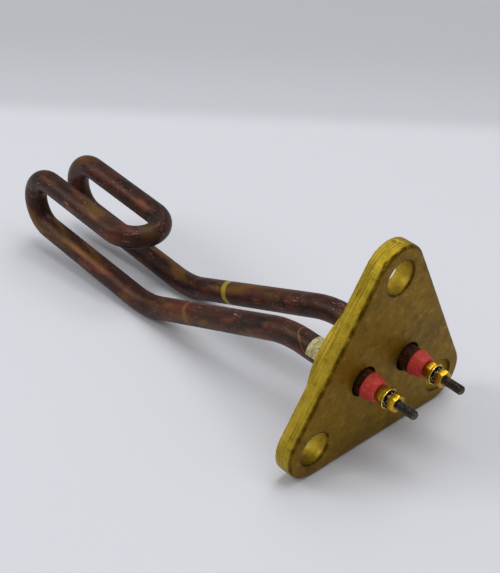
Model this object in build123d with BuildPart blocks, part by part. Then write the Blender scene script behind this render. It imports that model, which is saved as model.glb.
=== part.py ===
from build123d import *
import os
from math import cos, radians, sin, tan

# Immersion heater on a three-hole flange. Millimetres, +Z up. The origin is the
# centre of the bolt circle on the plate's rear face. The bent heater runs along +Y
# into the boiler and the terminals stand out along -Y.

# Flange plate and the raised sealing land behind it
bolt_circle_d = 66.0
bolt_hole_d = 11.0
bolt_count = 3
corner_r = 10.6
plate_t = 6.4
front_round = 1.4
rear_break = 0.3
hole_break = 0.4
land_d = 53.0
land_t = 2.0

# Heater tube: a copper sheath packed with magnesia round a coiled wire
sheath_d = 8.5
sheath_wall = 0.8
coil_d = 3.4
tube_pitch = 20.0

# Centreline of the heater, measured back from the plate's rear face
first_bend_y = 26.0
first_bend_r = 36.0
second_bend_y = 94.5
second_bend_r = 32.0
drop = 29.0
leg_rise_deg = 3.6
lower_leg = 59.0
turn_pitch = 20.0
upper_leg = 36.5

# Seats of the tube ends in the flange, and how far the ends stand out of it
bore_clearance = 0.04
recess_d = 9.7
recess_depth = 2.6
mouth_out = 2.1
right_stand_out = 1.3

# Brazed joint round each tube: it fills a bevel in the land and climbs the tube
braze_leg = 1.5

# Terminal stud: threaded outside the bush, with a plain shank and an inner pin
stud_d = 3.0
shank_d = 2.7
thread_gap = 0.1
stud_tip = 20.3
stud_chamfer = 0.5
pin_d = 2.4
pin_end_y = 16.0
seal_len = 5.0
fit_clearance = 0.05

# Tapered insulating bush
bush_base_d = 8.7
bush_tip_d = 6.7
bush_shoulder = 0.5
bush_tip = 6.4
bush_round = 0.5

# Nuts and washers on each stud, given outward from the flange face. The turns are
# how far round each nut was left, in degrees.
nut_width = 5.1
nut_t = 2.4
inner_nut_start = 6.8
inner_nut_turn = {"left": 0.0, "right": 13.6}
outer_nut_turn = {"left": 21.7, "right": 7.4}
washer_d = 6.7
washer_t = 0.8
tooth_washer_d = 6.0
tooth_ring_d = 4.4
tooth_root = 0.3
tooth_plate = 0.4
tooth_width = 1.2
tooth_count = 8
tooth_twist_deg = 45.0

bolt_circle_r = bolt_circle_d / 2
sheath_r = sheath_d / 2
core_r = sheath_r - sheath_wall
face_y = -plate_t
half_pitch = tube_pitch / 2
rise = radians(leg_rise_deg)
twist = radians(tooth_twist_deg)
tooth_washer_t = tooth_width * sin(twist) + tooth_plate * cos(twist)
sides = {"left": -1, "right": 1}
parts = []


def finish(builder, name):
    builder.part.label = name
    parts.append(builder.part)


def stand_out(side):
    """How much further this terminal stands out than the left one."""
    return right_stand_out if side > 0 else 0.0


def seat(side, outward):
    """Plane square to a terminal's axis, the given height above the flange face."""
    y = face_y - stand_out(side) - outward
    return Plane(origin=(side * half_pitch, y, 0), x_dir=(1, 0, 0), z_dir=(0, -1, 0))


def mouth(side):
    return (side * half_pitch, face_y - mouth_out - stand_out(side), 0)


def centreline(left_start, right_start):
    """The heater's path from one end to the other, as straight runs and true arcs."""
    along = Vector(0, cos(rise), sin(rise))
    upward = Vector(0, -sin(rise), cos(rise))
    joints = {}
    with BuildLine() as path:
        for side, start in ((-1, left_start), (1, right_start)):
            x = side * half_pitch
            first = Vector(x, first_bend_y, 0)
            second = Vector(x, second_bend_y, -drop)
            far_low = second + along * lower_leg
            far_high = far_low + upward * turn_pitch
            far_mid = (far_low + far_high) * 0.5 + along * (turn_pitch / 2)
            near_high = far_high - along * upper_leg
            FilletPolyline(start, first, second, far_low, radius=[first_bend_r, second_bend_r])
            ThreePointArc(far_low, far_mid, far_high)
            Line(far_high, near_high)
            joints[side] = near_high
        cross = (joints[-1] + joints[1]) * 0.5 - along * half_pitch
        ThreePointArc(joints[-1], cross, joints[1])
    return path.wires()[0]


def revolved(profile_plane, outline):
    """A turned piece from its outline, given as radius and height pairs."""
    with BuildPart() as piece:
        with BuildSketch(profile_plane):
            with BuildLine():
                Polyline(*outline, close=True)
            make_face()
        revolve(axis=Axis(profile_plane.origin, profile_plane.y_dir))
    return piece


def turning_plane(side, outward):
    """Plane through a terminal's axis, with radius along x and outward along y."""
    origin = seat(side, outward).origin
    return Plane(origin=origin, x_dir=(1, 0, 0), z_dir=(0, 0, -1))


def hex_nut(side, start, turn_deg):
    """Hexagon nut with both faces turned down at the corners."""
    corner = nut_width / 2 / cos(radians(30))
    slope = (corner - nut_width / 2) * tan(radians(30))
    with BuildPart() as nut:
        with BuildSketch(seat(side, start)):
            RegularPolygon(nut_width / 2, 6, major_radius=False, rotation=turn_deg)
            Circle(stud_d / 2 + fit_clearance, mode=Mode.SUBTRACT)
        extrude(amount=nut_t)
        with BuildSketch(turning_plane(side, start)):
            with BuildLine():
                Polyline(
                    (0, 0),
                    (nut_width / 2, 0),
                    (corner, slope),
                    (corner, nut_t - slope),
                    (nut_width / 2, nut_t),
                    (0, nut_t),
                    close=True,
                )
            make_face()
        revolve(axis=Axis(seat(side, start).origin, (0, -1, 0)), mode=Mode.INTERSECT)
    return nut


def toothed_washer(side, start):
    """Lock washer: a flat ring with teeth round it, each twisted about its own radius."""
    middle = start + tooth_washer_t / 2
    ring_r = tooth_ring_d / 2
    tooth_len = tooth_washer_d / 2 - ring_r + tooth_root
    with BuildPart() as washer:
        with BuildSketch(seat(side, middle - tooth_plate / 2)):
            Circle(ring_r)
            Circle(stud_d / 2 + fit_clearance, mode=Mode.SUBTRACT)
        extrude(amount=tooth_plate)
        with Locations(seat(side, middle)):
            with PolarLocations((tooth_washer_d - tooth_len) / 2, tooth_count):
                with Locations(Rotation(tooth_twist_deg, 0, 0)):
                    Box(tooth_len, tooth_width, tooth_plate)
    return washer


# Flange: the hull of three corner discs, with the sealing land behind it
with BuildPart() as flange:
    with BuildSketch(Plane.XZ):
        with PolarLocations(bolt_circle_r, bolt_count, start_angle=90):
            Circle(corner_r)
        make_hull()
    extrude(amount=plate_t)
    front_rim = flange.faces().sort_by(Axis.Y)[0].outer_wire().edges()
    fillet(front_rim, radius=front_round)
    rear_rim = flange.faces().sort_by(Axis.Y)[-1].outer_wire().edges()
    chamfer(rear_rim, length=rear_break)
    with BuildSketch(Plane.XZ.offset(-land_t)):
        Circle(land_d / 2)
    extrude(amount=land_t)
    with BuildSketch(Plane.XZ.offset(-land_t)):
        with PolarLocations(bolt_circle_r, bolt_count, start_angle=90):
            Circle(bolt_hole_d / 2)
    extrude(amount=land_t + plate_t, mode=Mode.SUBTRACT)
    bolt_rims = flange.edges(Select.LAST).group_by(Axis.Y)[0]
    chamfer(bolt_rims, length=hole_break)
    with BuildSketch(Plane.XZ.offset(-land_t)):
        with GridLocations(tube_pitch, 0, 2, 1):
            Circle(sheath_r + bore_clearance)
    extrude(amount=land_t + plate_t, mode=Mode.SUBTRACT)
    tube_rims = flange.edges(Select.LAST).group_by(Axis.Y)[-1]
    chamfer(tube_rims, length=braze_leg)
    with BuildSketch(Plane.XZ.offset(plate_t)):
        with GridLocations(tube_pitch, 0, 2, 1):
            Circle(recess_d / 2)
    extrude(amount=-recess_depth, mode=Mode.SUBTRACT)
finish(flange, "flange")

# Sheath: one length of copper tube, swept along the whole centreline
with BuildPart() as sheath:
    with BuildSketch(Plane(origin=mouth(-1), z_dir=(0, 1, 0))):
        Circle(sheath_r)
        Circle(core_r, mode=Mode.SUBTRACT)
    sweep(path=centreline(mouth(-1), mouth(1)))
finish(sheath, "sheath")

# Magnesia packing and the wound wire, both hidden inside the sheath
seal_floor = {s: mouth(s)[1] + seal_len for s in sides.values()}
with BuildPart() as packing:
    ends = [(s * half_pitch, seal_floor[s], 0) for s in (-1, 1)]
    with BuildSketch(Plane(origin=ends[0], z_dir=(0, 1, 0))):
        Circle(core_r)
        Circle(coil_d / 2, mode=Mode.SUBTRACT)
    sweep(path=centreline(*ends))
finish(packing, "magnesia_packing")

with BuildPart() as coil:
    ends = [(s * half_pitch, pin_end_y, 0) for s in (-1, 1)]
    with BuildSketch(Plane(origin=ends[0], z_dir=(0, 1, 0))):
        Circle(coil_d / 2)
    sweep(path=centreline(*ends))
finish(coil, "heating_wire_coil")


for name, side in sides.items():
    # Black seal that closes the tube mouth round the pin
    seal_plane = turning_plane(side, mouth_out - seal_len)
    seal = revolved(
        seal_plane,
        [(shank_d / 2, 0), (core_r, 0), (core_r, seal_len), (shank_d / 2, seal_len)],
    )
    finish(seal, f"end_seal_{name}")

    # Stud: thread, shank through bush and seal, and the pin that meets the wire coil
    shank_end = mouth_out - seal_len
    pin_len = pin_end_y - seal_floor[side]
    thread_start = bush_tip + thread_gap
    stud = revolved(
        turning_plane(side, 0),
        [
            (0, shank_end - pin_len),
            (pin_d / 2, shank_end - pin_len),
            (pin_d / 2, shank_end),
            (shank_d / 2, shank_end),
            (shank_d / 2, thread_start),
            (stud_d / 2, thread_start),
            (stud_d / 2, stud_tip - stud_chamfer),
            (stud_d / 2 - stud_chamfer, stud_tip),
            (0, stud_tip),
        ],
    )
    finish(stud, f"terminal_stud_{name}")

    # Tapered insulating bush that sits on the end of the tube
    bush_bore = shank_d / 2 + fit_clearance
    bush_len = bush_tip - mouth_out
    bush = revolved(
        turning_plane(side, mouth_out),
        [
            (bush_bore, 0),
            (bush_base_d / 2, 0),
            (bush_base_d / 2, bush_shoulder),
            (bush_tip_d / 2, bush_len),
            (bush_bore, bush_len),
        ],
    )
    with bush:
        tip_rim = bush.faces().sort_by(Axis.Y)[0].outer_wire().edges()
        fillet(tip_rim, radius=bush_round)
    finish(bush, f"insulating_bush_{name}")

    # Hardware in the order in which it goes on the stud
    finish(hex_nut(side, inner_nut_start, inner_nut_turn[name]), f"inner_nut_{name}")
    washer_start = inner_nut_start + nut_t
    ring = [
        (stud_d / 2 + fit_clearance, 0),
        (washer_d / 2, 0),
        (washer_d / 2, washer_t),
        (stud_d / 2 + fit_clearance, washer_t),
    ]
    finish(revolved(turning_plane(side, washer_start), ring), f"plain_washer_{name}")
    tooth_start = washer_start + washer_t
    finish(toothed_washer(side, tooth_start), f"lock_washer_{name}")
    outer_nut = hex_nut(side, tooth_start + tooth_washer_t, outer_nut_turn[name])
    finish(outer_nut, f"outer_nut_{name}")

    # Brazed joint: fills the bevel in the land and ends in a concave fillet
    braze_in = sheath_r + bore_clearance
    with BuildPart() as braze:
        with BuildSketch(Plane(origin=(side * half_pitch, land_t, 0), z_dir=(0, 0, 1))):
            with BuildLine():
                Line((braze_in, -braze_leg), (braze_in + braze_leg, 0))
                RadiusArc((braze_in + braze_leg, 0), (braze_in, braze_leg), braze_leg)
                Line((braze_in, braze_leg), (braze_in, -braze_leg))
            make_face()
        revolve(axis=Axis((side * half_pitch, 0, 0), (0, 1, 0)))
    finish(braze, f"braze_fillet_{name}")

os.makedirs("parts", exist_ok=True)
for piece in parts:
    export_step(piece, f"parts/{piece.label}.step")
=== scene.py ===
"""Looks of a flanged immersion heater: aged brass flange, oxidised copper tube and screw terminals.

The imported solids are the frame. Each operator dresses one piece or one group of like pieces, and
everything is in metres in the solids' own frame. The heater runs along +Y, its terminals along -Y.
"""

import math

import bmesh
import bpy
import numpy as np
from bpy.props import FloatProperty, FloatVectorProperty, IntProperty, PointerProperty
from mathutils import Euler, Matrix, Vector, noise


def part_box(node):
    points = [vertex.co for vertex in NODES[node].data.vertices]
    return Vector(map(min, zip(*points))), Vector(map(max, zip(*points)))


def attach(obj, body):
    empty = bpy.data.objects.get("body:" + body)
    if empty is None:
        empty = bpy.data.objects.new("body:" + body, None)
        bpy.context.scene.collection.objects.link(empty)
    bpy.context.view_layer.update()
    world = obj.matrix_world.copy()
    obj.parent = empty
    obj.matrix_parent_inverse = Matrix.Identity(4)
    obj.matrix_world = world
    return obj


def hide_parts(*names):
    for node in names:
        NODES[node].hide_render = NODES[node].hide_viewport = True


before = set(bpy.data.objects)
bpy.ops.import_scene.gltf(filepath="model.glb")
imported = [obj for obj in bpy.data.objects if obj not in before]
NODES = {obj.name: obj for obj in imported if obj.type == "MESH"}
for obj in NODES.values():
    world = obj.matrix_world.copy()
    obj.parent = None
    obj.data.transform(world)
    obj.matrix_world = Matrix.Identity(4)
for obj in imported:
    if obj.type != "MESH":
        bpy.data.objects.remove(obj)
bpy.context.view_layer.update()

bl_info = {
    "name": "Flanged Immersion Heater",
    "version": (1, 0, 0),
    "blender": (4, 5, 0),
    "location": "View3D > Sidebar > Heater",
    "description": "Dresses the solids of a flanged immersion heater for rendering",
    "category": "Object",
}

MM = 0.001
BODY = "root"
SIDES = {"left": -1, "right": 1}
VECTOR_MATH = "ShaderNodeVectorMath"
BOLT_TURNS = (90, 210, 330)  # Degrees round the flange, the top hole first


def paint(code):
    """Linear colour with alpha from a six-digit screen colour."""
    parts = [int(code[i : i + 2], 16) / 255 for i in (0, 2, 4)]
    linear = [c / 12.92 if c <= 0.04045 else ((c + 0.055) / 1.055) ** 2.4 for c in parts]
    return (*linear, 1.0)


def colour_property(name, code, description):
    return FloatVectorProperty(
        name=name, description=description, subtype="COLOR", size=4, min=0, max=1, default=paint(code)
    )


def length_property(name, millimetres, description):
    return FloatProperty(
        name=name, description=description, unit="LENGTH", precision=5, default=millimetres * MM
    )


class TubeSettings(bpy.types.PropertyGroup):
    """Route and surface of the bent copper tube."""

    diameter: length_property("Diameter", 8.5, "Outer diameter of the copper tube")
    wall: length_property("Wall", 0.8, "Wall of the copper tube")
    pitch: length_property("Pitch", 20.0, "Distance between the two legs")
    left_mouth: length_property("Left mouth", -8.5, "Y of the left end of the tube")
    right_mouth: length_property("Right mouth", -9.8, "Y of the right end of the tube")
    first_bend_y: length_property("First bend", 26.0, "Y of the corner of the first bend")
    first_bend_radius: length_property("First bend radius", 36.0, "Centreline radius of this bend")
    second_bend_y: length_property("Second bend", 94.5, "Y of the corner of the second bend")
    second_bend_radius: length_property("Second bend radius", 32.0, "Centreline radius of this bend")
    drop: length_property("Drop", 29.0, "How far the legs drop between the two bends")
    leg_rise: FloatProperty(
        name="Leg rise",
        description="Slope of the far runs",
        subtype="ANGLE",
        default=math.radians(3.6),
    )
    lower_leg: length_property("Lower leg", 59.0, "Straight run from the second bend to the turn")
    turn_pitch: length_property("Turn pitch", 20.0, "Height of the turn that doubles the tube back")
    upper_leg: length_property("Upper leg", 36.5, "Straight run back towards the flange")
    ring_spacing: length_property("Ring spacing", 0.6, "Distance between rings of the tube's mesh")
    ring_sides: IntProperty(name="Ring sides", description="Corners of each ring", default=44, min=8)
    unevenness: length_property("Unevenness", 0.07, "Depth of the dips in the drawn tube")


class FlangeSettings(bpy.types.PropertyGroup):
    """Surface of the cast brass flange."""

    grain: length_property("Grain", 0.34, "Cell size of the casting's mesh")
    waviness: length_property("Waviness", 0.10, "Depth of the slow dips in the cast faces")
    pitting: length_property("Pitting", 0.05, "Depth of the fine pits in the cast faces")
    # Face and Side are one brass: the darker Face on the flat faces is painted shade, the lighter Side
    # on the walls is painted light.
    face: colour_property("Face", "8A6A10", "Tarnished brass of the front face")
    side: colour_property("Side", "AC9428", "Cleaner brass of the side walls")
    # Rubbed brass on high spots and filed sides, and painted light on the bolt-hole walls.
    bright: colour_property("Bright", "C8AA3C", "Rubbed brass in the holes and on high spots")
    stain: colour_property("Stain", "4A3208", "Brown stain on the casting")
    # Near-black: painted shade in the recesses round the bushes; the same colour is also laid in the
    # knocks.
    black: colour_property("Black", "140C06", "Soot in the recesses and the knocks")
    bolt_circle_radius: length_property("Bolt circle radius", 33.0, "Radius of the bolt circle")
    hole_radius: length_property("Hole radius", 5.5, "Radius of the bolt holes")
    tube_offset: length_property("Tube offset", 10.0, "Distance of each recess from the middle")
    recess_radius: length_property("Recess radius", 4.85, "Radius of the recesses round the bushes")


class CopperSettings(bpy.types.PropertyGroup):
    """Colours of the oxidised copper."""

    oxide: colour_property("Oxide", "3A1F14", "Dark brown oxide")
    oxide_black: colour_property("Black oxide", "170C08", "Nearly black oxide")
    oxide_red: colour_property("Red oxide", "6E3420", "Reddish oxide")
    ochre: colour_property("Ochre", "7A5418", "Ochre stain")
    olive: colour_property("Olive", "A39424", "Bright yellow-olive stain")
    bare: colour_property("Bare copper", "D48A66", "Scratched bare copper")
    scale: colour_property("Scale", "D8CDA8", "Pale lime scale")


class TerminalSettings(bpy.types.PropertyGroup):
    """Sizes and colours of the terminals."""

    thread_pitch: length_property("Thread pitch", 0.5, "Pitch of the studs' thread")
    thread_depth: length_property("Thread depth", 0.27, "Depth of the studs' thread")
    thread_start: length_property("Thread start", 4.4, "Distance from the bush's base to the thread")
    shank_start: length_property("Shank start", 5.0, "Distance from the bush's base down to the pin")
    shank_radius: length_property("Shank radius", 1.35, "Radius of the stud inside bush and seal")
    pin_radius: length_property("Pin radius", 1.2, "Radius of the pin inside the tube")
    tip_chamfer: length_property("Tip chamfer", 0.5, "Chamfer at the stud's tip")
    edge_wear: length_property("Edge wear", 0.11, "Width of the worn edges of nuts and washers")
    bush: colour_property("Bush", "C8382C", "Red of the insulating bushes")
    # Dirty red, used both for dirt and as painted shade on the bushes' undersides.
    bush_dirt_and_shade: colour_property("Dark bush", "5E0F0A", "Dirty red of the bushes")
    bush_chalk: colour_property("Bush chalk", "E2988C", "Chalky bloom on the bushes' edges")
    steel: colour_property("Steel", "4A463A", "Dull steel of the studs")
    steel_bright: colour_property("Bright steel", "B9B5A4", "Rubbed steel")
    nut: colour_property("Nut", "C49A22", "Brass of the nuts and washers")
    nut_bright: colour_property("Bright nut", "F2DC86", "Worn edges of the nuts")
    blackened: colour_property("Blackened", "0B0C0E", "Black finish of the lock washers")


class StageSettings(bpy.types.PropertyGroup):
    """Camera, lamps and floor."""

    camera_place: FloatVectorProperty(
        name="Camera place",
        description="Where the camera stands",
        subtype="XYZ",
        unit="LENGTH",
        default=(-0.239266, -0.178533, 0.223646),
    )
    camera_turn: FloatVectorProperty(
        name="Camera turn",
        description="How the camera is turned",
        subtype="EULER",
        default=(math.radians(55.7611), math.radians(-3.9640), math.radians(-43.1431)),
    )
    focal_pixels: FloatProperty(
        name="Focal length in pixels", description="For a picture 500 pixels wide", default=1211.73
    )
    picture_width: IntProperty(name="Picture width", description="Width in pixels", default=500)
    sensor: FloatProperty(name="Sensor", description="Sensor width in millimetres", default=36.0)
    floor_size: length_property("Floor size", 5000.0, "Side of the square floor")
    floor: colour_property("Floor", "DADCE3", "Pale paper under the heater")
    floor_behind: colour_property("Floor behind", "C9CBD2", "The second sheet behind the heater")
    floor_far: colour_property("Far floor", "BCBEC5", "The second sheet far behind")
    seam_distance: length_property("Seam distance", 236.0, "Where the second sheet starts")
    seam_width: length_property("Seam width", 24.0, "Width of the soft step between the sheets")
    far_distance: length_property("Far distance", 350.0, "Where the second sheet is darkest")
    sky: FloatProperty(name="Sky", description="Strength of the surrounding light", default=0.35)
    lamp_power: FloatProperty(name="Lamp power", description="Watts of all the lamps", default=14.1)
    lamp_size: length_property("Lamp size", 600.0, "Side of each square lamp")
    lamp_distance: length_property("Lamp distance", 1300.0, "How far the lamps stand from the heater")


def feed(tree, socket, value):
    """Links a socket to another socket, or sets its value."""
    if isinstance(value, bpy.types.NodeSocket):
        tree.links.new(value, socket)
    elif value is not None:
        socket.default_value = value


def add_node(tree, kind, inputs=None, **settings):
    node = tree.nodes.new(kind)
    for key, value in settings.items():
        setattr(node, key, value)
    for key, value in (inputs or {}).items():
        feed(tree, node.inputs[key], value)
    return node


def calc(tree, operation, *values, clamp=False):
    """One scalar operation, in a material or in a geometry tree."""
    node = add_node(tree, "ShaderNodeMath", operation=operation, use_clamp=clamp)
    for socket, value in zip(node.inputs, values):
        feed(tree, socket, value)
    return node.outputs[0]


def times(tree, first, second):
    return calc(tree, "MULTIPLY", first, second)


def vector_calc(tree, operation, first, second):
    """One operation on two vectors, as a node."""
    return add_node(tree, VECTOR_MATH, {0: first, 1: second}, operation=operation)


def combine(tree, x, y, z):
    return add_node(tree, "ShaderNodeCombineXYZ", {"X": x, "Y": y, "Z": z}).outputs[0]


def split(tree, vector):
    node = add_node(tree, "ShaderNodeSeparateXYZ", {"Vector": vector})
    return node.outputs["X"], node.outputs["Y"], node.outputs["Z"]


def rise(tree, value, low, high):
    """Smooth step from 0 at low to 1 at high."""
    inputs = {"Value": value, "From Min": low, "From Max": high}
    node = add_node(tree, "ShaderNodeMapRange", inputs, interpolation_type="SMOOTHSTEP")
    return node.outputs["Result"]


def band(tree, value, centre, half_width, softness):
    """1 within half_width of the centre, falling to 0 over the softness."""
    distance = calc(tree, "ABSOLUTE", calc(tree, "SUBTRACT", value, centre))
    return rise(tree, distance, half_width + softness, half_width)


def clouds(tree, vector, size, detail=4.0, roughness=0.55, distortion=0.0):
    """Noise from 0 to 1 with features of about the given size in metres."""
    inputs = {
        "Vector": vector,
        "Scale": 1 / size,
        "Detail": detail,
        "Roughness": roughness,
        "Distortion": distortion,
    }
    return add_node(tree, "ShaderNodeTexNoise", inputs).outputs[0]


def stretch(tree, vector, factors):
    """The vector with each axis multiplied, so that a pattern runs long or short."""
    return vector_calc(tree, "MULTIPLY", vector, factors).outputs[0]


def layer(tree, amount, below, above):
    """One colour laid over another."""
    node = add_node(tree, "ShaderNodeMix", {0: amount, 6: below, 7: above}, data_type="RGBA")
    return node.outputs[2]


def new_material(name):
    """An empty material, its tree, its shader and its object coordinates."""
    material = bpy.data.materials.new(name)
    material.use_nodes = True
    tree = material.node_tree
    shader = tree.nodes["Principled BSDF"]
    place = add_node(tree, "ShaderNodeTexCoord").outputs["Object"]
    return material, tree, shader, place


def surface_normal(tree):
    return add_node(tree, "ShaderNodeTexCoord").outputs["Normal"]


def relief(tree, shader, height, depth, strength=1.0):
    """Bump whose height runs from 0 to 1 over the given depth in metres."""
    inputs = {"Height": height, "Distance": depth, "Strength": strength}
    feed(tree, shader.inputs["Normal"], add_node(tree, "ShaderNodeBump", inputs).outputs[0])


def hole_distance(tree, place, settings):
    """Distance from the axis of the nearest bolt hole."""
    nearest = None
    for turn in BOLT_TURNS:
        angle = math.radians(turn)
        centre = combine(
            tree,
            settings.bolt_circle_radius * math.cos(angle),
            0.0,
            settings.bolt_circle_radius * math.sin(angle),
        )
        flat = stretch(tree, place, (1, 0, 1))
        distance = vector_calc(tree, "DISTANCE", flat, centre).outputs["Value"]
        nearest = distance if nearest is None else calc(tree, "MINIMUM", nearest, distance)
    return nearest


def recess_distance(tree, place, settings):
    """Distance from the axis of the nearer recess."""
    x, _, z = split(tree, place)
    sideways = calc(tree, "SUBTRACT", calc(tree, "ABSOLUTE", x), settings.tube_offset)
    flat = combine(tree, sideways, 0.0, z)
    return add_node(tree, VECTOR_MATH, {0: flat}, operation="LENGTH").outputs["Value"]


def knock_distance(tree, place, points):
    """Distance from a chain of points on the surface."""
    nearest = None
    for start, end in zip(points, points[1:]):
        first, last = Vector(start) * MM, Vector(end) * MM
        along = last - first
        offset = vector_calc(tree, "SUBTRACT", place, tuple(first)).outputs[0]
        dot = vector_calc(tree, "DOT_PRODUCT", offset, tuple(along)).outputs["Value"]
        share = calc(tree, "DIVIDE", dot, along.length_squared, clamp=True)
        step = add_node(tree, VECTOR_MATH, {0: tuple(along), "Scale": share}, operation="SCALE")
        gap = vector_calc(tree, "DISTANCE", offset, step.outputs[0]).outputs["Value"]
        nearest = gap if nearest is None else calc(tree, "MINIMUM", nearest, gap)
    return nearest


def cast_brass(settings):
    """Tarnished cast brass: olive, stained brown on the front, filed along the sides; painted shade
    darkens the flat faces and the recesses, painted light brightens the side walls and the bolt-hole
    walls.
    """
    material, tree, shader, place = new_material("cast_brass")
    y = split(tree, place)[1]
    facing = calc(tree, "ABSOLUTE", split(tree, surface_normal(tree))[1])
    shaded_flat_faces = rise(tree, facing, 0.35, 0.9)
    side_wall = calc(tree, "SUBTRACT", 1.0, shaded_flat_faces)

    mottle = clouds(tree, place, 2.6 * MM, detail=6, roughness=0.7)
    stain = clouds(tree, place, 15 * MM, detail=4, roughness=0.55, distortion=0.4)
    speckle = clouds(tree, place, 0.5 * MM, detail=3)
    # Painted shade and light: the flat faces are painted darker and the side walls lighter, though
    # both are the same brass.
    colour = layer(tree, shaded_flat_faces, settings.side, settings.face)
    colour = layer(tree, times(tree, rise(tree, stain, 0.45, 0.7), 0.35), colour, settings.stain)
    colour = layer(tree, times(tree, rise(tree, mottle, 0.48, 0.72), 0.45), colour, settings.stain)
    colour = layer(tree, times(tree, rise(tree, mottle, 0.46, 0.28), 0.35), colour, settings.bright)
    fleck = times(tree, rise(tree, speckle, 0.55, 0.75), 0.4)
    colour = layer(tree, fleck, colour, settings.stain)

    lines = clouds(tree, stretch(tree, place, (0.04, 1.0, 0.04)), 0.55 * MM, detail=3)
    filed = times(tree, rise(tree, lines, 0.45, 0.65), side_wall)
    filed = times(tree, filed, rise(tree, y, -4.5 * MM, -2.5 * MM))
    colour = layer(tree, times(tree, filed, 0.55), colour, settings.bright)
    cut_lines = times(tree, rise(tree, lines, 0.42, 0.32), side_wall)
    colour = layer(tree, times(tree, cut_lines, 0.6), colour, settings.stain)

    front_rim_y = -6.0 * MM
    rim = band(tree, y, front_rim_y, 0.25 * MM, 0.7 * MM)
    rim = times(tree, rim, side_rim(tree, facing))
    rim = times(tree, rim, rise(tree, mottle, 0.25, 0.6))
    colour = layer(tree, times(tree, rim, 0.85), colour, settings.stain)

    reach = hole_distance(tree, place, settings)
    # Painted light: the bolt holes' walls are painted lighter, as if lit.
    lit_bore = rise(tree, reach, settings.hole_radius + 0.15 * MM, settings.hole_radius - 0.05 * MM)
    colour = layer(tree, times(tree, lit_bore, 0.7), colour, settings.bright)
    collar = band(tree, reach, settings.hole_radius + 0.4 * MM, 0.12 * MM, 0.3 * MM)
    collar = times(tree, collar, rise(tree, mottle, 0.2, 0.55))
    colour = layer(tree, times(tree, collar, 0.8), colour, settings.stain)

    # Painted shade: the recesses round the bushes are painted near-black, as the shade inside them.
    shade_edge = settings.recess_radius + 0.25 * MM
    recess = rise(tree, recess_distance(tree, place, settings), shade_edge, settings.recess_radius)
    recess = times(tree, recess, rise(tree, y, 1.0 * MM, 0.0))
    colour = layer(tree, recess, colour, settings.black)
    # The knocks are painted near-black, darkest along their middle.
    for knock in KNOCKS:
        radius = knock["radius"] * MM
        depth = rise(tree, knock_distance(tree, place, knock["points"]), radius, 0.3 * radius)
        colour = layer(tree, times(tree, depth, 0.9), colour, settings.black)

    feed(tree, shader.inputs["Base Color"], colour)
    feed(tree, shader.inputs["Metallic"], calc(tree, "MULTIPLY_ADD", recess, -0.9, 0.95))
    dull = calc(tree, "MULTIPLY_ADD", mottle, 0.22, 0.42)
    feed(tree, shader.inputs["Roughness"], dull)
    height = calc(tree, "MULTIPLY_ADD", filed, 0.5, calc(tree, "MULTIPLY_ADD", mottle, 0.8, speckle))
    relief(tree, shader, height, 0.09 * MM)
    return material


def side_rim(tree, facing):
    """Keeps a stain to the rounded rim, clear of the flat front face."""
    return rise(tree, facing, 0.998, 0.9)


# Dents in the rim: a chain of points with the dent's radius and depth, all in millimetres
KNOCKS = (
    dict(
        points=[(-0.3, -1.8, 43.6), (0.9, -2.0, 43.6), (1.3, -2.9, 43.5), (1.5, -4.2, 43.5)],
        radius=0.55,
        depth=0.5,
    ),
    dict(points=[(-7.3, -5.6, 40.7), (-8.2, -6.0, 39.6)], radius=0.7, depth=0.45),
)


def along_tube(tree):
    return add_node(tree, "ShaderNodeAttribute", attribute_name="along").outputs["Fac"]


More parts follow.
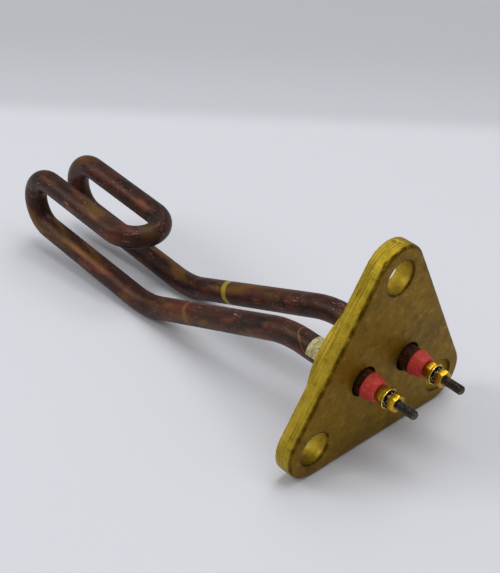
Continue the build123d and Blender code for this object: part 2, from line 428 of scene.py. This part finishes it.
def oxidised_copper(settings):
    """Dark oxide over copper, with scratches, ochre patches and the stains of old clamps."""
    material, tree, shader, place = new_material("oxidised_copper")
    straight = add_node(tree, "ShaderNodeAttribute", attribute_name="straight").outputs["Vector"]
    normal = surface_normal(tree)
    upward = split(tree, normal)[2]
    wobble = calc(tree, "MULTIPLY_ADD", clouds(tree, place, 3 * MM), 1.6 * MM, -0.8 * MM)
    along = calc(tree, "ADD", along_tube(tree), wobble)

    patches = clouds(tree, place, 9 * MM, detail=6, roughness=0.65, distortion=0.6)
    colour = layer(tree, rise(tree, patches, 0.3, 0.6), settings.oxide_black, settings.oxide)
    reds = clouds(tree, stretch(tree, straight, (0.4, 1.0, 1.0)), 5 * MM, detail=5, roughness=0.65)
    colour = layer(tree, times(tree, rise(tree, reds, 0.48, 0.7), 0.75), colour, settings.oxide_red)
    ochres = clouds(tree, stretch(tree, straight, (0.35, 1.0, 1.0)), 9 * MM, detail=5, distortion=0.8)
    ochre_amount = times(tree, rise(tree, ochres, 0.52, 0.72), 0.6)
    colour = layer(tree, ochre_amount, colour, settings.ochre)

    for mark in CLAMP_STAINS:
        skewed = calc(tree, "MULTIPLY_ADD", upward, -mark["skew"] * MM, along)
        ring = band(tree, skewed, mark["along"] * MM, mark["half_width"] * MM, mark["edge"] * MM)
        ring = times(tree, ring, mark["amount"])
        colour = layer(tree, ring, colour, getattr(settings, mark["colour"]))

    lines = clouds(tree, stretch(tree, straight, (0.12, 1.0, 1.0)), 0.55 * MM, detail=3, roughness=0.6)
    scuffed = rise(tree, clouds(tree, place, 7 * MM, detail=5, roughness=0.6), 0.46, 0.62)
    scratches = rise(tree, lines, 0.63, 0.72)
    specks = rise(tree, clouds(tree, place, 0.55 * MM, detail=2), 0.62, 0.72)
    bare = times(tree, calc(tree, "MAXIMUM", scratches, specks), scuffed)
    colour = layer(tree, times(tree, bare, 0.8), colour, settings.bare)

    feed(tree, shader.inputs["Base Color"], colour)
    shader.inputs["Metallic"].default_value = 0.35
    shader.inputs["Specular IOR Level"].default_value = 0.3
    dull = calc(tree, "MULTIPLY_ADD", patches, 0.3, 0.3)
    feed(tree, shader.inputs["Roughness"], dull)
    grain = clouds(tree, place, 0.8 * MM, detail=4, roughness=0.65)
    relief(tree, shader, calc(tree, "MULTIPLY_ADD", bare, -0.5, grain), 0.05 * MM)
    return material


# Rings round the tube, in millimetres: place, lean of the top, half width and soft edge
CLAMP_STAINS = (
    dict(along=409.6, skew=-1.2, half_width=0.9, edge=0.5, amount=0.95, colour="olive"),
    dict(along=73.2, skew=1.4, half_width=0.7, edge=0.6, amount=0.7, colour="ochre"),
    dict(along=14.3, skew=6.1, half_width=0.15, edge=0.3, amount=0.7, colour="ochre"),
)


def red_bush(settings):
    """Red moulded insulation with dirt, a chalky bloom and painted shade on its underside."""
    material, tree, shader, place = new_material("red_bush")
    dirt = clouds(tree, place, 2.2 * MM, detail=5, roughness=0.65)
    dirty = times(tree, rise(tree, dirt, 0.5, 0.75), 0.5)
    colour = layer(tree, dirty, settings.bush, settings.bush_dirt_and_shade)
    # Painted shade: the underside is painted darker red.
    under = times(tree, rise(tree, split(tree, surface_normal(tree))[2], 0.1, -0.9), 0.55)
    colour = layer(tree, under, colour, settings.bush_dirt_and_shade)
    bloom = times(tree, rise(tree, clouds(tree, place, 0.8 * MM), 0.5, 0.7), 0.22)
    colour = layer(tree, bloom, colour, settings.bush_chalk)
    feed(tree, shader.inputs["Base Color"], colour)
    shader.inputs["Specular IOR Level"].default_value = 0.3
    feed(tree, shader.inputs["Roughness"], calc(tree, "MULTIPLY_ADD", dirt, 0.2, 0.45))
    rings = clouds(tree, stretch(tree, place, (0.1, 1.0, 0.1)), 0.5 * MM, detail=2)
    relief(tree, shader, calc(tree, "MULTIPLY_ADD", rings, 0.6, dirt), 0.06 * MM)
    return material


def metal(name, base, worn, dark, size, dullness, depth, metallic=1.0):
    """Worn metal: a base tone, rubbed high spots and dark grime, all of one grain size."""
    material, tree, shader, place = new_material(name)
    wear = clouds(tree, place, size, detail=5, roughness=0.65)
    grime = clouds(tree, place, size * 2.3, detail=4, roughness=0.6)
    colour = layer(tree, times(tree, rise(tree, wear, 0.52, 0.72), 0.6), base, worn)
    colour = layer(tree, times(tree, rise(tree, grime, 0.52, 0.72), 0.7), colour, dark)
    feed(tree, shader.inputs["Base Color"], colour)
    shader.inputs["Metallic"].default_value = metallic
    feed(tree, shader.inputs["Roughness"], calc(tree, "MULTIPLY_ADD", grime, 0.3, dullness))
    relief(tree, shader, wear, depth)
    return material


def stud_steel(settings):
    return metal(
        "stud_steel",
        base=settings.steel,
        worn=settings.steel_bright,
        dark=paint("16140F"),
        size=0.7 * MM,
        dullness=0.32,
        depth=0.03 * MM,
    )


def nut_brass(settings):
    return metal(
        "nut_brass",
        base=settings.nut,
        worn=paint("DDBB4C"),
        dark=paint("6E4A0C"),
        size=1.1 * MM,
        dullness=0.16,
        depth=0.015 * MM,
    )


def worn_brass(settings):
    return metal(
        "worn_brass",
        base=settings.nut_bright,
        worn=paint("FFF0B4"),
        dark=paint("B08A2C"),
        size=0.8 * MM,
        dullness=0.14,
        depth=0.01 * MM,
    )


def washer_black(settings):
    return metal(
        "washer_black",
        base=settings.blackened,
        worn=paint("2A2B2E"),
        dark=paint("050505"),
        size=0.7 * MM,
        dullness=0.2,
        depth=0.02 * MM,
        metallic=0.6,
    )


def worn_steel(settings):
    return metal(
        "worn_steel",
        base=paint("C9CBCE"),
        worn=paint("F2F4F6"),
        dark=paint("5A5C60"),
        size=0.6 * MM,
        dullness=0.2,
        depth=0.01 * MM,
    )


def braze_metal():
    return metal(
        "braze_metal",
        base=paint("8A7440"),
        worn=paint("B79C58"),
        dark=paint("3C2A14"),
        size=1.4 * MM,
        dullness=0.4,
        depth=0.15 * MM,
        metallic=0.8,
    )


def plain_matt(name, base, shade, size, dullness):
    """Matt surface of a hidden piece, with its own grain."""
    material, tree, shader, place = new_material(name)
    grain = clouds(tree, place, size, detail=5, roughness=0.6)
    feed(tree, shader.inputs["Base Color"], layer(tree, rise(tree, grain, 0.35, 0.7), base, shade))
    feed(tree, shader.inputs["Roughness"], calc(tree, "MULTIPLY_ADD", grain, 0.2, dullness))
    relief(tree, shader, grain, 0.04 * MM)
    return material


def lime_scale(settings):
    """Pale crust with a brown heart, left by the braze."""
    material, tree, shader, place = new_material("lime_scale")
    heart = add_node(tree, "ShaderNodeAttribute", attribute_name="heart").outputs["Fac"]
    lumps = clouds(tree, place, 0.9 * MM, detail=5, roughness=0.65)
    colour = layer(tree, rise(tree, lumps, 0.35, 0.7), paint("8F8A48"), settings.scale)
    colour = layer(tree, rise(tree, heart, 0.35, 0.7), colour, paint("4A3014"))
    feed(tree, shader.inputs["Base Color"], colour)
    feed(tree, shader.inputs["Roughness"], calc(tree, "MULTIPLY_ADD", lumps, 0.2, 0.6))
    relief(tree, shader, lumps, 0.2 * MM)
    return material


def curve_route(points, bend_radii):
    """A poly curve whose point radii hold the bend radius of each corner."""
    curve = bpy.data.curves.new("tube_route", "CURVE")
    curve.dimensions = "3D"
    spline = curve.splines.new("POLY")
    spline.points.add(len(points) - 1)
    for slot, point, radius in zip(spline.points, points, bend_radii):
        slot.co = (*point, 1)
        slot.radius = radius
    return bpy.data.objects.new("tube_route", curve)


def tube_corners(settings):
    """Corners of the tube's route from the left mouth to the right one, with their bend radii."""
    half = settings.pitch / 2
    forward = Vector((0, math.cos(settings.leg_rise), math.sin(settings.leg_rise)))
    upward = Vector((0, -math.sin(settings.leg_rise), math.cos(settings.leg_rise)))
    turn = settings.turn_pitch / 2
    legs = {}
    for side, mouth in ((-1, settings.left_mouth), (1, settings.right_mouth)):
        second = Vector((side * half, settings.second_bend_y, -settings.drop))
        low = second + forward * (settings.lower_leg + turn)
        high = low + upward * settings.turn_pitch
        crossing = high - forward * (settings.upper_leg + turn + half)
        legs[side] = [
            Vector((side * half, mouth, 0)),
            Vector((side * half, settings.first_bend_y, 0)),
            second,
            low,
            high,
            crossing,
        ]
    radii = [0, settings.first_bend_radius, settings.second_bend_radius, turn, turn, half]
    return legs[-1] + legs[1][::-1], radii + radii[::-1]


def new_tree(name, sockets):
    """A geometry tree with a geometry input and output and the named inputs."""
    tree = bpy.data.node_groups.new(name, "GeometryNodeTree")
    tree.interface.new_socket("Geometry", in_out="INPUT", socket_type="NodeSocketGeometry")
    for label, kind in sockets.items():
        tree.interface.new_socket(label, in_out="INPUT", socket_type=kind)
    tree.interface.new_socket("Geometry", in_out="OUTPUT", socket_type="NodeSocketGeometry")
    return tree, add_node(tree, "NodeGroupInput"), add_node(tree, "NodeGroupOutput")


def finish_tree(tree, geometry, material, output):
    """Ends a tree in real geometry with its material."""
    real = add_node(tree, "GeometryNodeRealizeInstances", {"Geometry": geometry}).outputs[0]
    dressed = add_node(tree, "GeometryNodeSetMaterial", {"Geometry": real, "Material": material})
    feed(tree, output.inputs[0], dressed.outputs[0])


def store(tree, geometry, name, value, kind="FLOAT"):
    """A named attribute on the points of a geometry."""
    node = add_node(tree, "GeometryNodeStoreNamedAttribute", data_type=kind, domain="POINT")
    feed(tree, node.inputs["Geometry"], geometry)
    feed(tree, node.inputs["Name"], name)
    feed(tree, node.inputs["Value"], value)
    return node.outputs[0]


def read(tree, name):
    node = add_node(tree, "GeometryNodeInputNamedAttribute", {"Name": name}, data_type="FLOAT")
    return node.outputs[0]


def unrolled(tree, radius):
    """Where a point would lie if the tube were straight along X."""
    angle = times(tree, read(tree, "turn"), math.tau)
    across = times(tree, calc(tree, "COSINE", angle), radius)
    up = times(tree, calc(tree, "SINE", angle), radius)
    return combine(tree, read(tree, "along"), across, up)


def tube_tree(material):
    """Fillets a route, sweeps a ring along it and presses shallow dips into the wall."""
    sizes = {
        "Radius": "NodeSocketFloat",
        "Spacing": "NodeSocketFloat",
        "Sides": "NodeSocketInt",
        "Unevenness": "NodeSocketFloat",
        "Start": "NodeSocketFloat",
    }
    tree, given, output = new_tree("bent_tube", sizes)
    corner_radius = add_node(tree, "GeometryNodeInputRadius").outputs[0]
    fillet = add_node(tree, "GeometryNodeFilletCurve", mode="POLY")
    feed(tree, fillet.inputs["Curve"], given.outputs["Geometry"])
    feed(tree, fillet.inputs["Radius"], corner_radius)
    fillet.inputs["Count"].default_value = 48
    even = add_node(tree, "GeometryNodeResampleCurve", {"Curve": fillet.outputs[0]}, mode="LENGTH")
    feed(tree, even.inputs["Length"], given.outputs["Spacing"])
    plain = add_node(tree, "GeometryNodeSetCurveRadius", {"Curve": even.outputs[0], "Radius": 1.0})
    length = add_node(tree, "GeometryNodeSplineParameter").outputs["Length"]
    along = calc(tree, "ADD", length, given.outputs["Start"])
    route = store(tree, plain.outputs[0], "along", along)
    ring = add_node(tree, "GeometryNodeCurvePrimitiveCircle", {"Resolution": given.outputs["Sides"]})
    feed(tree, ring.inputs["Radius"], given.outputs["Radius"])
    turn = add_node(tree, "GeometryNodeSplineParameter").outputs["Factor"]
    marked = store(tree, ring.outputs[0], "turn", turn)
    swept = add_node(tree, "GeometryNodeCurveToMesh", {"Curve": route, "Profile Curve": marked})
    unbent = unrolled(tree, given.outputs["Radius"])
    straightened = store(tree, swept.outputs[0], "straight", unbent, "FLOAT_VECTOR")
    normal = add_node(tree, "GeometryNodeInputNormal").outputs[0]
    place = add_node(tree, "GeometryNodeInputPosition").outputs[0]
    dips = clouds(tree, place, 9 * MM, detail=2)
    depth = times(tree, times(tree, dips, -1.0), given.outputs["Unevenness"])
    offset = add_node(tree, VECTOR_MATH, {0: normal}, operation="SCALE")
    feed(tree, offset.inputs["Scale"], depth)
    pressed = add_node(tree, "GeometryNodeSetPosition", {"Geometry": straightened})
    feed(tree, pressed.inputs["Offset"], offset.outputs[0])
    finish_tree(tree, pressed.outputs[0], material, output)
    return tree


def stud_tree(material):
    """A turned stud: pin, shank and a thread cut into the outer end, with a chamfered tip."""
    names = ("Length", "Radius", "Pin Radius", "Pin End", "Shank Radius", "Shank End")
    names += ("Pitch", "Depth", "Chamfer")
    sizes = {name: "NodeSocketFloat" for name in names}
    sizes["Rows"] = "NodeSocketInt"
    tree, given, output = new_tree("threaded_stud", sizes)
    size = {name: given.outputs[name] for name in names}
    bar = add_node(tree, "GeometryNodeMeshCylinder", {"Vertices": 40})
    feed(tree, bar.inputs["Side Segments"], given.outputs["Rows"])
    feed(tree, bar.inputs["Radius"], size["Radius"])
    feed(tree, bar.inputs["Depth"], size["Length"])
    x, y, z = split(tree, add_node(tree, "GeometryNodeInputPosition").outputs[0])
    height = calc(tree, "MULTIPLY_ADD", size["Length"], 0.5, z)
    turn = calc(tree, "DIVIDE", calc(tree, "ARCTAN2", y, x), math.tau)
    turns_up = calc(tree, "DIVIDE", height, size["Pitch"])
    phase = calc(tree, "FRACT", calc(tree, "SUBTRACT", turns_up, turn))
    flank = calc(tree, "ABSOLUTE", calc(tree, "MULTIPLY_ADD", phase, 2.0, -1.0))
    groove = times(tree, rise(tree, flank, 0.9, 0.1), size["Depth"])
    threaded = calc(tree, "GREATER_THAN", height, size["Shank End"])
    outer = calc(tree, "MULTIPLY_ADD", times(tree, groove, -1.0), threaded, size["Radius"])
    to_tip = calc(tree, "SUBTRACT", size["Length"], height)
    pointed = calc(tree, "SUBTRACT", calc(tree, "ADD", size["Radius"], to_tip), size["Chamfer"])
    outer = calc(tree, "MINIMUM", outer, pointed)
    past_pin = calc(tree, "GREATER_THAN", height, size["Pin End"])
    inner = pick(tree, past_pin, size["Pin Radius"], size["Shank Radius"])
    radius = pick(tree, threaded, inner, outer)
    scale = calc(tree, "DIVIDE", radius, size["Radius"])
    place = combine(tree, times(tree, x, scale), times(tree, y, scale), z)
    shaped = add_node(tree, "GeometryNodeSetPosition", {"Geometry": bar.outputs[0]})
    feed(tree, shaped.inputs["Position"], place)
    finish_tree(tree, shaped.outputs[0], material, output)
    return tree


def pick(tree, choice, no, yes):
    """The second value where the choice is true, the first elsewhere."""
    node = add_node(tree, "GeometryNodeSwitch", {"Switch": choice}, input_type="FLOAT")
    feed(tree, node.inputs["False"], no)
    feed(tree, node.inputs["True"], yes)
    return node.outputs[0]


def run_tree(carrier, tree, values, name):
    """The mesh that a tree makes from a carrier object, as a plain object of its own."""
    modifier = carrier.modifiers.new(tree.name, "NODES")
    modifier.node_group = tree
    for item in tree.interface.items_tree:
        if item.in_out == "INPUT" and item.name in values:
            modifier[item.identifier] = values[item.name]
    bpy.context.scene.collection.objects.link(carrier)
    graph = bpy.context.evaluated_depsgraph_get()
    mesh = bpy.data.meshes.new_from_object(carrier.evaluated_get(graph), depsgraph=graph)
    bpy.data.objects.remove(carrier)
    return link_mesh(mesh, name)


def link_mesh(mesh, name):
    mesh.name = name
    piece = bpy.data.objects.new(name, mesh)
    bpy.context.scene.collection.objects.link(piece)
    return piece


def smooth(piece, angle=40):
    piece.data.shade_smooth()
    piece.data.set_sharp_from_angle(angle=math.radians(angle))


def bake_modifiers(piece):
    """Applies a piece's modifiers by replacing its mesh with the evaluated one."""
    graph = bpy.context.evaluated_depsgraph_get()
    mesh = bpy.data.meshes.new_from_object(piece.evaluated_get(graph), depsgraph=graph)
    piece.modifiers.clear()
    piece.data = mesh


def solid_copy(node, name):
    """A copy of a solid's mesh with its loose triangles joined."""
    mesh = NODES[node].data.copy()
    piece = link_mesh(mesh, name)
    shape = bmesh.new()
    shape.from_mesh(mesh)
    bmesh.ops.remove_doubles(shape, verts=shape.verts, dist=0.001 * MM)
    shape.to_mesh(mesh)
    shape.free()
    return piece


def dress(node, material):
    """Gives a solid its material."""
    slots = NODES[node].data.materials
    slots.clear()
    slots.append(material)


class HEATER_OT_tube(bpy.types.Operator):
    """Makes the bent copper tube"""

    bl_idname = "heater.tube"
    bl_label = "Copper tube"

    def execute(self, context):
        settings = context.scene.heater_tube
        material = oxidised_copper(context.scene.heater_copper)
        points, radii = tube_corners(settings)
        values = {
            "Radius": settings.diameter / 2,
            "Spacing": settings.ring_spacing,
            "Sides": settings.ring_sides,
            "Unevenness": settings.unevenness,
            "Start": settings.left_mouth,
        }
        tube = run_tree(curve_route(points, radii), tube_tree(material), values, "copper_tube")
        wall = tube.modifiers.new("wall", "SOLIDIFY")
        wall.thickness = settings.wall
        wall.offset = -1
        bake_modifiers(tube)
        smooth(tube)
        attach(tube, BODY)
        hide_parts("sheath")
        return {"FINISHED"}


def chain_distance(place, points):
    """Distance from a chain of points given in millimetres."""
    nearest = 1.0
    for start, end in zip(points, points[1:]):
        first, along = Vector(start) * MM, (Vector(end) - Vector(start)) * MM
        share = min(1.0, max(0.0, (place - first).dot(along) / along.length_squared))
        nearest = min(nearest, (place - first - along * share).length)
    return nearest


def weather(casting, settings):
    """Presses slow dips, fine pits and the knocks into a casting, always inwards."""
    mesh = casting.data
    normals = [vertex.normal.copy() for vertex in mesh.vertices]
    for vertex, normal in zip(mesh.vertices, normals):
        place = vertex.co
        slow = 0.5 + 0.5 * noise.noise(place / (9 * MM))
        fine = max(0.0, noise.noise(place / (1.3 * MM)))
        depth = settings.waviness * slow + settings.pitting * fine
        for knock in KNOCKS:
            gap = chain_distance(place, knock["points"]) / (knock["radius"] * MM)
            depth += knock["depth"] * MM * max(0.0, 1 - gap * gap)
        vertex.co = place - normal * depth


class HEATER_OT_flange(bpy.types.Operator):
    """Makes the cast brass flange with its dips, pits and knocks"""

    bl_idname = "heater.flange"
    bl_label = "Brass flange"

    def execute(self, context):
        settings = context.scene.heater_flange
        casting = solid_copy("flange", "brass_flange")
        remesh = casting.modifiers.new("grain", "REMESH")
        remesh.mode = "VOXEL"
        remesh.voxel_size = settings.grain
        bake_modifiers(casting)
        weather(casting, settings)
        smooth(casting)
        casting.data.materials.clear()
        casting.data.materials.append(cast_brass(settings))
        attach(casting, BODY)
        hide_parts("flange")
        return {"FINISHED"}


def worn_copy(node, name, materials, width):
    """A copy of a solid with narrow worn edges in the second material."""
    piece = solid_copy(node, name)
    piece.data.materials.clear()
    for material in materials:
        piece.data.materials.append(material)
    edge = piece.modifiers.new("edge", "BEVEL")
    edge.width = width
    edge.segments = 2
    edge.limit_method = "ANGLE"
    edge.angle_limit = math.radians(25)
    edge.material = 1
    edge.harden_normals = True
    bake_modifiers(piece)
    smooth(piece, 50)
    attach(piece, BODY)
    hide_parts(node)
    return piece


class HEATER_OT_terminals(bpy.types.Operator):
    """Makes the studs, bushes, nuts and washers of both terminals"""

    bl_idname = "heater.terminals"
    bl_label = "Terminals"

    def execute(self, context):
        settings = context.scene.heater_terminals
        brass = [nut_brass(settings), worn_brass(settings)]
        black = [washer_black(settings), worn_steel(settings)]
        steel = stud_steel(settings)
        red = red_bush(settings)
        tree = stud_tree(steel)
        for side in SIDES:
            dress(f"insulating_bush_{side}", red)
            make_stud(settings, tree, side)
            for kind in ("inner_nut", "outer_nut", "plain_washer"):
                piece = worn_copy(f"{kind}_{side}", f"brass_{kind}_{side}", brass, settings.edge_wear)
            tooth_wear = settings.edge_wear / 2
            piece = worn_copy(f"lock_washer_{side}", f"toothed_washer_{side}", black, tooth_wear)
        return {"FINISHED"}


def make_stud(settings, tree, side):
    low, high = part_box(f"terminal_stud_{side}")
    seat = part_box(f"insulating_bush_{side}")[1].y
    length = high.y - low.y
    values = {
        "Length": length,
        "Radius": (high.z - low.z) / 2,
        "Pin Radius": settings.pin_radius,
        "Pin End": high.y - seat - settings.shank_start,
        "Shank Radius": settings.shank_radius,
        "Shank End": high.y - seat + settings.thread_start,
        "Pitch": settings.thread_pitch,
        "Depth": settings.thread_depth,
        "Chamfer": settings.tip_chamfer,
        "Rows": int(length / settings.thread_pitch * 8),
    }
    carrier = bpy.data.objects.new("stud_carrier", bpy.data.meshes.new("stud_carrier"))
    stud = run_tree(carrier, tree, values, f"threaded_stud_{side}")
    stud.data.transform(Euler((math.pi / 2, 0, 0)).to_matrix().to_4x4())
    stud.data.transform(Matrix.Translation(((low.x + high.x) / 2, (low.y + high.y) / 2, 0)))
    smooth(stud, 35)
    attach(stud, BODY)
    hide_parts(f"terminal_stud_{side}")


class HEATER_OT_braze(bpy.types.Operator):
    """Finishes the brazed joints and lays the crust on the left leg"""

    bl_idname = "heater.braze"
    bl_label = "Brazed joints"

    def execute(self, context):
        for side in SIDES:
            dress(f"braze_fillet_{side}", braze_metal())
        make_crust(context.scene.heater_copper, context.scene.heater_tube)
        return {"FINISHED"}


def make_crust(copper, tube):
    """A lumpy patch that hugs the left leg just behind the flange."""
    rows, columns = 34, 40
    start, end = 3.0 * MM, 14.2 * MM
    middle, spread = math.radians(118), math.radians(62)
    radius = tube.diameter / 2
    shape = bmesh.new()
    heart = shape.verts.layers.float.new("heart")
    outer, inner = [], []
    for i in range(rows + 1):
        u = 2 * i / rows - 1
        for j in range(columns + 1):
            v = 2 * j / columns - 1
            y = (start + end) / 2 + u * (end - start) / 2
            turn = middle + v * spread
            edge = 0.93 + 0.16 * noise.noise(Vector((u * 1.7, v * 1.7, 3.1)))
            reach = math.hypot(u, v) / edge
            lump = 0.75 + 0.7 * noise.noise(Vector((y, turn * radius, 0)) * 900)
            ridge = math.exp(-(((reach - 0.72) / 0.22) ** 2))
            height = (0.1 + 0.42 * ridge) * lump * MM * max(0.0, 1 - max(0.0, reach - 0.8) / 0.2)
            drop = -0.02 * MM if reach > 1 else 0.0
            direction = Vector((math.cos(turn), 0, math.sin(turn)))
            centre = Vector((-tube.pitch / 2, y, 0))
            top = shape.verts.new(centre + direction * (radius + height + drop))
            top[heart] = max(0.0, 1 - reach / 0.62)
            outer.append(top)
            inner.append(shape.verts.new(centre + direction * (radius - 0.25 * MM)))
    wide = columns + 1
    for i in range(rows):
        for j in range(columns):
            a = i * wide + j
            shape.faces.new((outer[a], outer[a + 1], outer[a + wide + 1], outer[a + wide]))
            shape.faces.new((inner[a], inner[a + wide], inner[a + wide + 1], inner[a + 1]))
    rim = list(range(wide)) + [k * wide + columns for k in range(1, rows + 1)]
    rim += [rows * wide + k for k in range(columns - 1, -1, -1)]
    rim += [k * wide for k in range(rows - 1, 0, -1)]
    for a, b in zip(rim, rim[1:] + rim[:1]):
        shape.faces.new((outer[b], outer[a], inner[a], inner[b]))
    bmesh.ops.recalc_face_normals(shape, faces=shape.faces)
    mesh = bpy.data.meshes.new("braze_crust")
    shape.to_mesh(mesh)
    shape.free()
    crust = link_mesh(mesh, "braze_crust")
    mesh.materials.append(lime_scale(copper))
    smooth(crust, 60)
    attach(crust, BODY)


class HEATER_OT_core(bpy.types.Operator):
    """Finishes the seals, the packing and the wire inside the tube"""

    bl_idname = "heater.core"
    bl_label = "Seals, packing and wire"

    def execute(self, context):
        seal = plain_matt("black_seal", paint("0C0B0B"), paint("1E1A18"), 0.8 * MM, 0.35)
        for side in SIDES:
            dress(f"end_seal_{side}", seal)
        powder = plain_matt("magnesia", paint("DAD7CE"), paint("B9B4A6"), 0.9 * MM, 0.8)
        dress("magnesia_packing", powder)
        wire = plain_matt("resistance_wire", paint("8A857C"), paint("5C574E"), 0.5 * MM, 0.4)
        dress("heating_wire_coil", wire)
        return {"FINISHED"}


class HEATER_OT_stage(bpy.types.Operator):
    """Makes the floor, the lamps and the camera"""

    bl_idname = "heater.stage"
    bl_label = "Stage"

    def execute(self, context):
        settings = context.scene.heater_stage
        place_floor(settings)
        place_lamps(settings)
        place_camera(settings)
        context.scene.view_settings.view_transform = "Standard"
        return {"FINISHED"}


def resting_plane():
    """Point and slope of the surface that the flange's lower edge and the tube rest on."""
    flange = np.array([v.co for v in NODES["flange"].data.vertices])
    foot = flange[flange[:, 2] < flange[:, 2].min() + 1 * MM]
    tube = np.array([v.co for v in NODES["sheath"].data.vertices])
    tube = tube[tube[:, 1] > 50 * MM]
    slopes = []
    for point in foot:
        run = tube[:, 1] - point[1]
        slopes.append(((point[2] - tube[:, 2]) / run).max())
    lowest = int(np.argmin(slopes))
    return Vector(foot[lowest]), math.atan(slopes[lowest])


def paper(settings):
    material, tree, shader, place = new_material("paper")
    x, y, _ = split(tree, place)
    behind = times(tree, calc(tree, "ADD", x, y), math.sqrt(0.5))
    start = settings.seam_distance - settings.seam_width / 2
    seam = rise(tree, behind, start, start + settings.seam_width)
    fade = rise(tree, behind, start, settings.far_distance)
    second = layer(tree, fade, settings.floor_behind, settings.floor_far)
    colour = layer(tree, seam, settings.floor, second)
    tint = clouds(tree, place, 40 * MM)
    colour = layer(tree, times(tree, tint, 0.06), colour, settings.floor_behind)
    feed(tree, shader.inputs["Base Color"], colour)
    shader.inputs["Roughness"].default_value = 0.75
    relief(tree, shader, clouds(tree, place, 0.8 * MM), 0.01 * MM)
    return material


def place_floor(settings):
    point, slope = resting_plane()
    half = settings.floor_size / 2
    corners = [(-half, -half, 0), (half, -half, 0), (half, half, 0), (-half, half, 0)]
    mesh = bpy.data.meshes.new("floor")
    mesh.from_pydata(corners, [], [(0, 1, 2, 3)])
    mesh.transform(Euler((-slope, 0, 0)).to_matrix().to_4x4())
    mesh.transform(Matrix.Translation(point))
    floor = link_mesh(mesh, "floor")
    mesh.materials.append(paper(settings))


def place_lamp(name, place, target, size, power):
    """A square lamp turned towards its target."""
    lamp = bpy.data.lights.new(name, "AREA")
    lamp.size = size
    lamp.energy = power
    holder = bpy.data.objects.new(name, lamp)
    holder.location = place
    holder.rotation_euler = (Vector(target) - Vector(place)).to_track_quat("-Z", "Y").to_euler()
    bpy.context.scene.collection.objects.link(holder)


# Where each lamp stands round the heater, in degrees, and its share of the power
LAMPS = (
    dict(name="overhead", turn=0.0, height=89.9, share=0.34),
    dict(name="right_back", turn=22.5, height=62.0, share=0.19),
    dict(name="left_back", turn=135.0, height=35.0, share=0.35),
    dict(name="right_front", turn=292.5, height=62.0, share=0.12),
)


def place_lamps(settings):
    middle = Vector((0, 60 * MM, 0))
    for lamp in LAMPS:
        turn, height = math.radians(lamp["turn"]), math.radians(lamp["height"])
        level = math.cos(height)
        away = Vector((level * math.cos(turn), level * math.sin(turn), math.sin(height)))
        place = middle + away * settings.lamp_distance
        power = settings.lamp_power * lamp["share"]
        place_lamp(lamp["name"], place, middle, settings.lamp_size, power)
    world = bpy.data.worlds.new("studio")
    world.use_nodes = True
    world.node_tree.nodes["Background"].inputs["Color"].default_value = paint("FFFFFF")
    world.node_tree.nodes["Background"].inputs["Strength"].default_value = settings.sky
    bpy.context.scene.world = world


def place_camera(settings):
    lens = bpy.data.cameras.new("camera")
    lens.sensor_fit = "HORIZONTAL"
    lens.sensor_width = settings.sensor
    lens.lens = settings.focal_pixels * settings.sensor / settings.picture_width
    camera = bpy.data.objects.new("camera", lens)
    camera.location = settings.camera_place
    camera.rotation_euler = settings.camera_turn
    bpy.context.scene.collection.objects.link(camera)
    bpy.context.scene.camera = camera


class HEATER_PT_panel(bpy.types.Panel):
    """Lists the heater's operators"""

    bl_label = "Heater"
    bl_idname = "HEATER_PT_panel"
    bl_space_type = "VIEW_3D"
    bl_region_type = "UI"
    bl_category = "Heater"

    def draw(self, context):
        for operator in OPERATORS:
            self.layout.operator(operator.bl_idname)


SETTINGS = {
    "heater_tube": TubeSettings,
    "heater_flange": FlangeSettings,
    "heater_copper": CopperSettings,
    "heater_terminals": TerminalSettings,
    "heater_stage": StageSettings,
}
OPERATORS = (
    HEATER_OT_tube,
    HEATER_OT_flange,
    HEATER_OT_terminals,
    HEATER_OT_braze,
    HEATER_OT_core,
    HEATER_OT_stage,
)
CLASSES = (*SETTINGS.values(), *OPERATORS, HEATER_PT_panel)


def register():
    for item in CLASSES:
        bpy.utils.register_class(item)
    for name, group in SETTINGS.items():
        setattr(bpy.types.Scene, name, PointerProperty(type=group))


def unregister():
    for name in SETTINGS:
        delattr(bpy.types.Scene, name)
    for item in reversed(CLASSES):
        bpy.utils.unregister_class(item)


def main():
    register()
    for operator in OPERATORS:
        group, name = operator.bl_idname.split(".")
        getattr(getattr(bpy.ops, group), name)()


if __name__ == "__main__":
    main()
